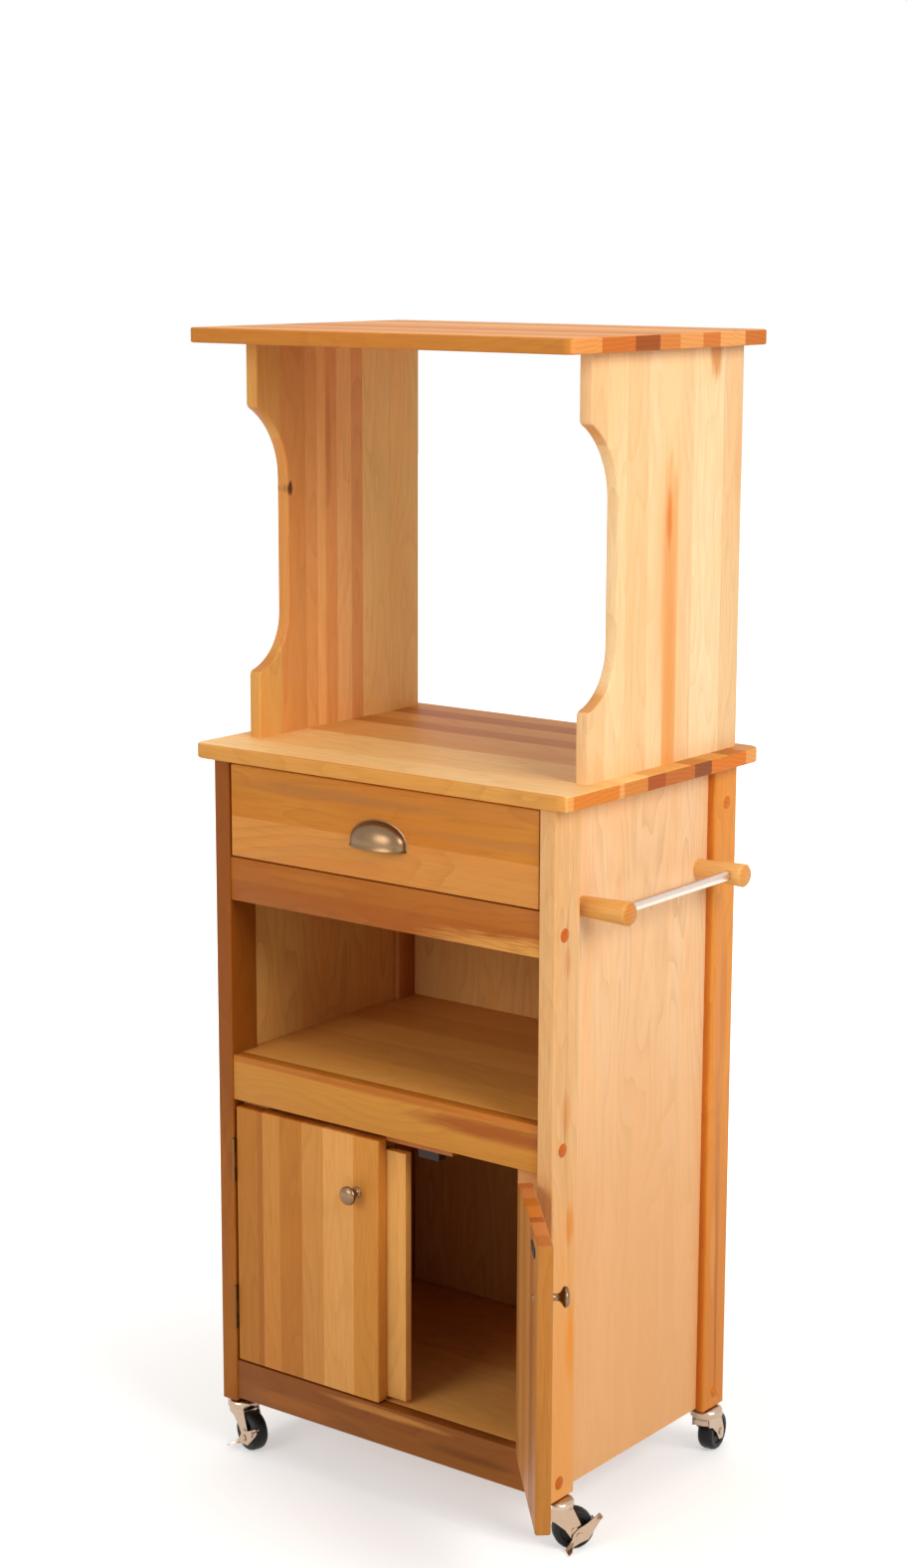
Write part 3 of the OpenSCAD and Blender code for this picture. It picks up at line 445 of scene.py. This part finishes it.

# The left panel's staves grow paler towards its rear. This is painted light, laid over the staves' own
# tones to make up for the lamps' falloff across the panel.
left_staves_lit_rearward = [(0, tone(222, 164, 88)), (0.13, tone(222, 152, 82)), (0.28, tone(236, 168, 98)),
               (0.35, tone(252, 188, 114)), (0.40, tone(240, 166, 94)), (0.47, tone(255, 194, 122)),
               (0.56, tone(240, 168, 98)), (0.63, tone(255, 206, 128)), (0.80, tone(255, 200, 118))]
left_marks = [(1.296, at_y(0.19), 0.011, 0.0055, tone(96, 52, 20), 1.4),
              (1.36, at_y(0.42), 0.10, 0.006, tone(206, 124, 52), 0.6)]
sanded("hutch_side_left", "cart",
       hardwood("hutch_left_staves_painted_light", 2, 1, panel_low[1], panel_high[1], left_staves_lit_rearward,
                marks=left_marks, seed=6.0),
       ease=panel_ease, shortest=0, skip=at_an_end)


# ---------------------------------------------------------------- legs
# Four solid legs, 25 by 52 mm, with rounded upright edges and grooves for the panels. Each is a
# different board: dark red-brown, pale with knots, and orange-brown.
def leg(node, front, rear, marks=(), seed=0.0, figure=1.0):
    low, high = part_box(node)
    sanded(node, "cart", hardwood(node + "_wood", 2, 1, low[1], high[1], [(0, front), (0.5, rear)],
                                        marks=marks, seed=seed, figure=figure))


right_low, right_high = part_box("leg_front_right")
mid_y = (right_low[1] + right_high[1]) / 2
leg("leg_front_left", tone(146, 80, 20), tone(148, 82, 22), seed=3.0, figure=1.2,
    marks=[(0.20, mid_y, 0.34, 0.05, tone(172, 104, 32), 1.0)])
leg("leg_front_right", tone(230, 180, 122), tone(232, 184, 128), seed=5.4, figure=1.2,
    marks=[(0.16, mid_y, 0.36, 0.05, tone(230, 152, 66), 0.8),
           (0.427, mid_y + 0.010, 0.03, 0.010, tone(224, 136, 50), 0.8),
           (0.277, mid_y + 0.012, 0.065, 0.012, tone(232, 142, 44), 0.9),
           (0.762, mid_y, 0.022, 0.008, tone(214, 140, 80), 0.6),
           (0.573, mid_y, 0.034, 0.010, tone(216, 138, 68), 0.7)])
leg("leg_rear_left", tone(196, 128, 66), tone(198, 130, 68), seed=7.1)
leg("leg_rear_right", tone(228, 146, 58), tone(230, 150, 62), seed=8.7, figure=1.3,
    marks=[(0.12, 0.26, 0.42, 0.06, tone(206, 122, 36), 0.8),
           (0.64, 0.262, 0.10, 0.010, tone(206, 120, 40), 0.7),
           (0.30, 0.25, 0.07, 0.009, tone(226, 150, 70), 0.6)])


# ---------------------------------------------------------------- side panels and back panel
# Thin veneered sheets let into grooves in the legs, their face veneer cut with an upright flame
# figure. The right one is the palest wood on the cart.
def veneer(node, base, second, seed, marks=()):
    low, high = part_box(node)
    faces_sideways = high[0] - low[0] < high[1] - low[1]
    across = 1 if faces_sideways else 0
    leaves = [(0, base), (0.34, second), (0.67, base)]
    sanded(node, "cart", hardwood(node + "_veneer", 2, across, low[across], high[across], leaves,
                                        marks=marks, seed=seed, figure=1.5, gloss=0.42))


veneer("side_panel_right", tone(244, 201, 154), tone(242, 197, 149), 0.4,
       marks=[(0.12, 0.0, 0.55, 0.6, tone(228, 166, 106), 0.9)])
veneer("side_panel_left", tone(224, 172, 98), tone(220, 166, 94), 3.9)
veneer("back_panel", tone(216, 160, 94), tone(212, 155, 90), 5.2)


# ---------------------------------------------------------------- front rails and rear rails
# Rails let in between the legs: a red-brown one under the drawer, a honey one at the middle
# shelf and a dark one at the bottom, with two plain ones at the back.
def rail(node, strips, marks=(), seed=0.0, figure=1.0):
    low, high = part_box(node)
    sanded(node, "cart", hardwood(node + "_wood", 0, 2, low[2], high[2], strips, marks=marks,
                                        seed=seed, figure=figure), ease=0.0008, steps=2)


rail("drawer_rail", [(0, tone(168, 94, 26)), (0.5, tone(176, 102, 32))],
     marks=[(0.19, 0.772, 0.19, 0.022, tone(222, 156, 76), 1.1),
            (-0.18, 0.815, 0.12, 0.006, tone(190, 112, 38), 0.6)], seed=2.8, figure=1.4)
rail("shelf_rail", [(0, tone(204, 138, 54)), (0.86, tone(190, 116, 40))],
     marks=[(0.16, 0.536, 0.17, 0.014, tone(160, 84, 24), 1.0),
            (-0.06, 0.552, 0.22, 0.005, tone(176, 98, 34), 0.7)], seed=1.1, figure=1.2)
rail("bottom_rail", [(0, tone(146, 86, 30)), (0.5, tone(140, 80, 28))],
     marks=[(-0.04, 0.121, 0.12, 0.006, tone(196, 130, 60), 0.9),
            (0.10, 0.098, 0.09, 0.007, tone(104, 56, 18), 0.7),
            (-0.20, 0.09, 0.08, 0.012, tone(170, 98, 34), 0.6)], seed=9.3, figure=1.6)
rail("rear_rails", [(0, tone(206, 140, 76)), (0.5, tone(200, 134, 70))], seed=4.4)


# ---------------------------------------------------------------- shelves
# The middle and bottom shelves, glued up like the tops, cut back round the legs.
def shelf_board(node, colours, seed):
    low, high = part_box(node)
    strips = [(i / len(colours), c) for i, c in enumerate(colours)]
    sanded(node, "cart",
           hardwood(node + "_staves", 0, 1, low[1], high[1], strips, seed=seed), ease=0.0006, steps=2)


shelf_board("middle_shelf", [tone(222, 158, 78), tone(214, 150, 74), tone(224, 162, 84), tone(212, 148, 72),
                             tone(220, 158, 80)], 3.3)
shelf_board("bottom_shelf", [tone(226, 164, 88), tone(230, 168, 92), tone(222, 158, 82),
                             tone(226, 162, 86)], 6.6)


# ---------------------------------------------------------------- drawer
# A hardwood front glued from two boards, the lower one lighter, on a box of plain sides and back
# with a thin bottom, which slides on side runners.
front_low, front_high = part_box("drawer_front")
drawer_boards = [(0, tone(215, 144, 68)), (0.44, tone(203, 130, 46)), (0.80, tone(205, 134, 52))]
drawer_marks = [(-0.14, front_high[2] - 0.022, 0.22, 0.010, tone(176, 112, 54), 0.7),
                (0.10, front_high[2] - 0.050, 0.20, 0.008, tone(182, 118, 58), 0.6)]
sanded("drawer_front", "drawer",
       hardwood("drawer_front_boards", 0, 2, front_low[2], front_high[2], drawer_boards, marks=drawer_marks,
                seed=2.0, figure=1.5), ease=0.0014)


def plain(node, body, along, across, colour, seed, ease=0.0006):
    """A part of one plain board, which is not varnished."""
    low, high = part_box(node)
    sanded(node, body,
           hardwood(node + "_plain", along, across, low[across], high[across],
                    [(0, colour), (0.5, colour)], seed=seed, figure=0.7, gloss=0.5),
           ease=ease, steps=2)


plain("drawer_side_left", "drawer", 1, 2, tone(226, 184, 128), 0.9)
plain("drawer_side_right", "drawer", 1, 2, tone(228, 186, 130), 1.9)
plain("drawer_back", "drawer", 0, 2, tone(224, 182, 126), 2.9)
plain("drawer_bottom", "drawer", 0, 1, tone(218, 176, 120), 3.9, 0)
plain("drawer_runners", "cart", 1, 2, tone(212, 168, 112), 4.9)
plain("hutch_dowels", "cart", 2, 0, tone(222, 176, 120), 5.9, 0)


# ---------------------------------------------------------------- doors
# Two slab doors of upright staves with well rounded edges. The right door's inner face shows
# through its open swing; its grain runs upright too, so the sawn end of each stave shows on top.
behaviour = frame["record"]["behaviour"]
right_hinge = next(j for j in behaviour["joints"] if j["name"] == "right_door_hinge")
right_pin = Vector((right_hinge["pos_m"][0], right_hinge["pos_m"][1], 0))
right_swing = math.radians(-right_hinge["range_deg"][0])
right_door_span = (-0.224, -0.002)


def door(node, body, strips, span, seed, ends=None, turn=None):
    sanded(node, body,
           hardwood(node + "_staves", 2, 0, span[0], span[1], strips, ends, seed=seed, turn=turn),
           ease=0.0028, steps=4)


left_low, left_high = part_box("door_left")
door("door_left", "left_door",
     [(0, tone(186, 118, 42)), (0.15, tone(176, 106, 38)), (0.19, tone(204, 136, 62)),
      (0.31, tone(190, 120, 46)), (0.47, tone(206, 140, 68)), (0.62, tone(224, 162, 90)),
      (0.83, tone(208, 140, 60))], (left_low[0], left_high[0]), 3.7)
door("door_right", "right_door",
     [(0, tone(186, 122, 52)), (0.16, tone(166, 102, 42)), (0.34, tone(196, 132, 66)),
      (0.52, tone(188, 124, 58)), (0.70, tone(200, 140, 74)), (0.86, tone(180, 114, 50))],
     right_door_span, 5.0,
     [(0, tone(186, 108, 50)), (0.16, tone(204, 122, 64)), (0.36, tone(172, 90, 40)),
      (0.44, tone(208, 118, 44)), (0.62, tone(190, 106, 38)), (0.74, tone(204, 124, 64)),
      (0.9, tone(190, 108, 52))], (right_pin, right_swing))

# The astragal closes the gap between the doors: a straight strip on the back of the left door.
astragal_low, astragal_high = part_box("astragal")
sanded("astragal", "left_door",
       hardwood("astragal_wood", 2, 0, astragal_low[0], astragal_high[0],
                [(0, tone(224, 162, 84)), (0.5, tone(230, 168, 90))], seed=6.3), ease=0.0012)


# ---------------------------------------------------------------- cleats
# Strips screwed behind the legs and the shelf rail: they back the hinges, stop the doors and
# carry the catch.
def cleat(node, along, across, colour, seed):
    low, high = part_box(node)
    sanded(node, "cart",
           hardwood(node + "_wood", along, across, low[across], high[across],
                    [(0, colour), (0.5, colour)], seed=seed),
           ease=0.0012, steps=2)


cleat("hinge_cleat_left", 2, 0, tone(204, 142, 78), 1.6)
cleat("hinge_cleat_right", 2, 0, tone(214, 152, 88), 2.6)
cleat("catch_cleat", 0, 2, tone(186, 112, 58), 3.6)


# ---------------------------------------------------------------- screw buttons and towel pegs
# Domed buttons turned from darker wood plug the screw holes in the legs. The two pegs are turned
# a little thicker towards their chamfered tips, and hold the rod in blind sockets.
def turned(node, front, rear, seed):
    low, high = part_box(node)
    sanded(node, "cart", hardwood(node + "_turned", 0, 1, low[1], high[1], [(0, front), (0.5, rear)],
                                        seed=seed, figure=0.8))


turned("screw_buttons", tone(212, 122, 44), tone(226, 144, 56), 0.7)
turned("towel_peg_front", tone(226, 166, 90), tone(226, 166, 92), 1.7)
turned("towel_peg_rear", tone(240, 188, 116), tone(240, 188, 118), 2.7)


# ---------------------------------------------------------------- metal
# Satin nickel on the pull, knobs and rod, bright zinc on the screws and casters and dark bronze on the
# hinges, each with a fine brushed or cloudy surface. The nickel of the pull and knobs is darkened, browned
# and clouded more heavily as painted reflection of a dark room and of the wood; the zinc's warm tint is
# painted reflection of the wood.
def metal(name, colour, rough, spread, stretch=(1, 1, 1), mottle_and_reflection=0.12):
    """Plated metal: rough to rough + spread as the brushing goes, drawn out by stretch, and clouded darker
    in patches, which on the pull's nickel is painted reflection.
    """
    plate = bpy.data.materials.new(name)
    tree = bare_tree(plate)
    coord = tree.nodes.new("ShaderNodeTexCoord")
    squeeze = tree.nodes.new("ShaderNodeMapping")
    squeeze.inputs["Scale"].default_value = stretch
    tree.links.new(coord.outputs["Object"], squeeze.inputs[0])
    brush = tree.nodes.new("ShaderNodeTexNoise")
    brush.inputs["Scale"].default_value = 900
    brush.inputs["Detail"].default_value = 3
    tree.links.new(squeeze.outputs[0], brush.inputs["Vector"])
    cloud = tree.nodes.new("ShaderNodeTexNoise")
    cloud.inputs["Scale"].default_value = 90
    cloud.inputs["Detail"].default_value = 4
    tree.links.new(coord.outputs["Object"], cloud.inputs["Vector"])
    shade = tuple(c * 0.72 for c in colour[:3]) + (1,)
    mottle_and_reflection_mask = math_node(tree, "MULTIPLY", cloud.outputs["Fac"], mottle_and_reflection * 4, clamp=True)
    shader = tree.nodes.new("ShaderNodeBsdfPrincipled")
    shader.inputs["Metallic"].default_value = 1.0
    tree.links.new(mixed(tree, "MIX", mottle_and_reflection_mask, colour, shade), shader.inputs["Base Color"])
    roughness = math_node(tree, "MULTIPLY_ADD", brush.outputs["Fac"], spread, rough)
    tree.links.new(roughness, shader.inputs["Roughness"])
    rubbed(tree, shader, brush.outputs["Fac"], 0.08, 0.0001)
    return plate


brushed_sideways = (0.05, 1, 1)
# The pull's and knobs' nickel is darkened and browned, with heavier clouding: painted reflection of a dark
# room and of the wood round it.
satin_nickel = metal("satin_nickel", tone(140, 112, 82), 0.24, 0.14, brushed_sideways, mottle_and_reflection=0.18)
rod_nickel = metal("rod_nickel", tone(234, 216, 202), 0.26, 0.16, brushed_sideways)
# The zinc's warm tint is painted reflection of the wood round it.
bright_zinc = metal("bright_zinc", tone(204, 180, 156), 0.13, 0.18)
hinge_bronze = metal("hinge_bronze", tone(132, 92, 54), 0.40, 0.16)


def bare(node, material):
    """A piece whose solid already has its shape: cleaned, smoothed and given its surface."""
    body = next(b for b, names in behaviour["bodies"].items() if node in names)
    sanded(node, body, material, sharp=30)


# ---------------------------------------------------------------- towel rod and cup pull
# A satin rod between the pegs. The pull is a pressed cup with a thin flange round its hood,
# screwed from inside the drawer front.
bare("towel_rod", rod_nickel)
bare("cup_pull_screws", bright_zinc)

cup_low, cup_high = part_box("cup_pull")
cup_half = (cup_high[0] - cup_low[0]) / 2
cup_tall = cup_high[2] - cup_low[2]
cup_mid = (cup_low[0] + cup_high[0]) / 2
cup_back = cup_high[1]
cup_skirt = 0.007
cup_lip = 0.0018
cup_wall = 0.0014
flange_deep = 0.0022
flange_side = 0.0026
flange_top = 0.0016
flange_wall = 0.0012


def half_shell(half_wide, deep, tall, skirt, lip=0.0):
    """A quarter of an egg shape, open below and behind, on a short skirt that may turn out to a lip."""
    bm = bmesh.new()
    bmesh.ops.create_uvsphere(bm, u_segments=64, v_segments=32, radius=1.0)
    for axis in ((0, 1, 0), (0, 0, -1)):
        bmesh.ops.bisect_plane(bm, geom=bm.verts[:] + bm.edges[:] + bm.faces[:], dist=merge_distance,
                               plane_co=(0, 0, 0), plane_no=axis, clear_outer=True)
    bmesh.ops.scale(bm, vec=(half_wide, deep, tall - skirt), verts=bm.verts)
    rim = [e for e in bm.edges if e.is_boundary and all(abs(v.co.z) < 1e-6 for v in e.verts)]
    stages = [(skirt - lip, 1.0)]
    if lip:
        stages.append((lip, 1.0 + lip / half_wide))
    for fall, flare in stages:
        drop = bmesh.ops.extrude_edge_only(bm, edges=rim)["geom"]
        rim = [g for g in drop if isinstance(g, bmesh.types.BMEdge)]
        lowered = [g for g in drop if isinstance(g, bmesh.types.BMVert)]
        bmesh.ops.translate(bm, vec=(0, 0, -fall), verts=lowered)
        bmesh.ops.scale(bm, vec=(flare, flare, 1), verts=lowered)
    return bm


bm = half_shell(cup_half - flange_side, cup_back - cup_low[1] - cup_lip, cup_tall - flange_top,
                cup_skirt, cup_lip)
bmesh.ops.solidify(bm, geom=bm.faces[:], thickness=cup_wall)
bmesh.ops.recalc_face_normals(bm, faces=bm.faces)
flange = half_shell(cup_half, flange_deep, cup_tall, cup_skirt)
flange_mesh = bpy.data.meshes.new("flange")
bmesh.ops.solidify(flange, geom=flange.faces[:], thickness=flange_wall)
bmesh.ops.recalc_face_normals(flange, faces=flange.faces)
flange.to_mesh(flange_mesh)
flange.free()
bm.from_mesh(flange_mesh)
bmesh.ops.translate(bm, vec=(cup_mid, cup_back, cup_low[2] + cup_skirt), verts=bm.verts)
finish_piece(bm, "cup_pull_pressed", "drawer", satin_nickel, "cup_pull")


# ---------------------------------------------------------------- knobs
# Turned metal knobs: a flared foot, a slim neck and a shallow domed head, on a machine screw that
# goes through the door. The right one is turned in place with its open door.
knob_height = 0.413
knob_left_x = -0.087
knob_right_x = 0.009
knob_profile = [(0, 0), (7.2, 0), (7.4, 0.8), (6.6, 1.6), (5.2, 2.4), (4.4, 4.2), (4.1, 7.0), (4.3, 9.4),
                (5.2, 11.6), (7.2, 13.4), (9.8, 14.8), (11.6, 15.9), (12.4, 17.1), (12.5, 18.4),
                (12.1, 19.8), (11.0, 21.2), (9.0, 22.5), (6.2, 23.4), (3.2, 23.9), (0, 24)]
screw_profile = [(0, 0), (2, 0), (2, 19), (4, 19), (4, 20.2), (3.2, 21), (0, 21)]


def lathed(bm, profile, foot, out):
    """Turns a profile of (radius, distance) in millimetres about the line from foot along out."""
    ring = [bm.verts.new(foot + Vector((r, 0, 0)) / 1000 + Vector(out) * (d / 1000)) for r, d in profile]
    edges = [bm.edges.new(pair) for pair in zip(ring, ring[1:])]
    bmesh.ops.spin(bm, geom=ring + edges, cent=foot, axis=out, angle=math.tau, steps=56, use_merge=True)


def turned_knob(node, body, x, turn=None):
    foot = Vector((x, left_low[1], knob_height))
    bm = bmesh.new()
    lathed(bm, knob_profile, foot, (0, -1, 0))
    lathed(bm, screw_profile, foot, (0, 1, 0))
    bmesh.ops.remove_doubles(bm, verts=bm.verts, dist=merge_distance)
    bmesh.ops.recalc_face_normals(bm, faces=bm.faces)
    if turn:
        bmesh.ops.rotate(bm, cent=turn[0], matrix=Matrix.Rotation(turn[1], 3, "Z"), verts=bm.verts)
    finish_piece(bm, node + "_turned", body, satin_nickel, node, 60)


turned_knob("knob_left", "left_door", knob_left_x)
turned_knob("knob_right", "right_door", knob_right_x, (right_pin, right_swing))


# ---------------------------------------------------------------- hinges, catch and strike
# Slim butt hinges in the gaps beside the doors, a dark magnetic catch under its cleat and an oval
# strike plate on the back of the right door.
for side in ("left", "right"):
    bare("hinge_frame_leaves_" + side, hinge_bronze)
    bare("hinge_door_leaves_" + side, hinge_bronze)


def moulded(name, colour, rough):
    """Dark moulded plastic or rubber, finely pitted, with a little paler dust on it."""
    resin = bpy.data.materials.new(name)
    tree = bare_tree(resin)
    coord = tree.nodes.new("ShaderNodeTexCoord")
    speck = tree.nodes.new("ShaderNodeTexNoise")
    speck.inputs["Scale"].default_value = 700
    speck.inputs["Detail"].default_value = 3
    tree.links.new(coord.outputs["Object"], speck.inputs["Vector"])
    dust = tree.nodes.new("ShaderNodeTexNoise")
    dust.inputs["Scale"].default_value = 60
    dust.inputs["Detail"].default_value = 5
    tree.links.new(coord.outputs["Object"], dust.inputs["Vector"])
    pale = tuple(min(1, c * 2.2 + 0.01) for c in colour[:3]) + (1,)
    dusty = above(tree, dust.outputs["Fac"], 0.45, 2.0)
    shader = tree.nodes.new("ShaderNodeBsdfPrincipled")
    tree.links.new(mixed(tree, "MIX", dusty, colour, pale), shader.inputs["Base Color"])
    roughness = math_node(tree, "MULTIPLY_ADD", dust.outputs["Fac"], 0.25, rough)
    tree.links.new(roughness, shader.inputs["Roughness"])
    shader.inputs["Specular IOR Level"].default_value = 0.3
    rubbed(tree, shader, speck.outputs["Fac"], 0.12, 0.0002)
    return resin


catch_brown = moulded("catch_brown", tone(44, 30, 24), 0.45)
sanded("magnetic_catch", "cart", catch_brown, ease=0.001)
sanded("strike_plate", "right_door", catch_brown)


# ---------------------------------------------------------------- casters
# Plated forks on swivel stems with black wheels on riveted axles; the front two carry a brake
# lever beside the wheel, on a rivet of its own.
wheel_black = moulded("wheel_black", tone(15, 13, 13), 0.36)
bare("caster_stems", bright_zinc)
for corner in ("fl", "fr", "rl", "rr"):
    bare("caster_fork_" + corner, bright_zinc)
    bare("caster_axle_" + corner, bright_zinc)
    bare("caster_wheel_" + corner, wheel_black)
for corner in ("fl", "fr"):
    bare("brake_lever_" + corner, bright_zinc)
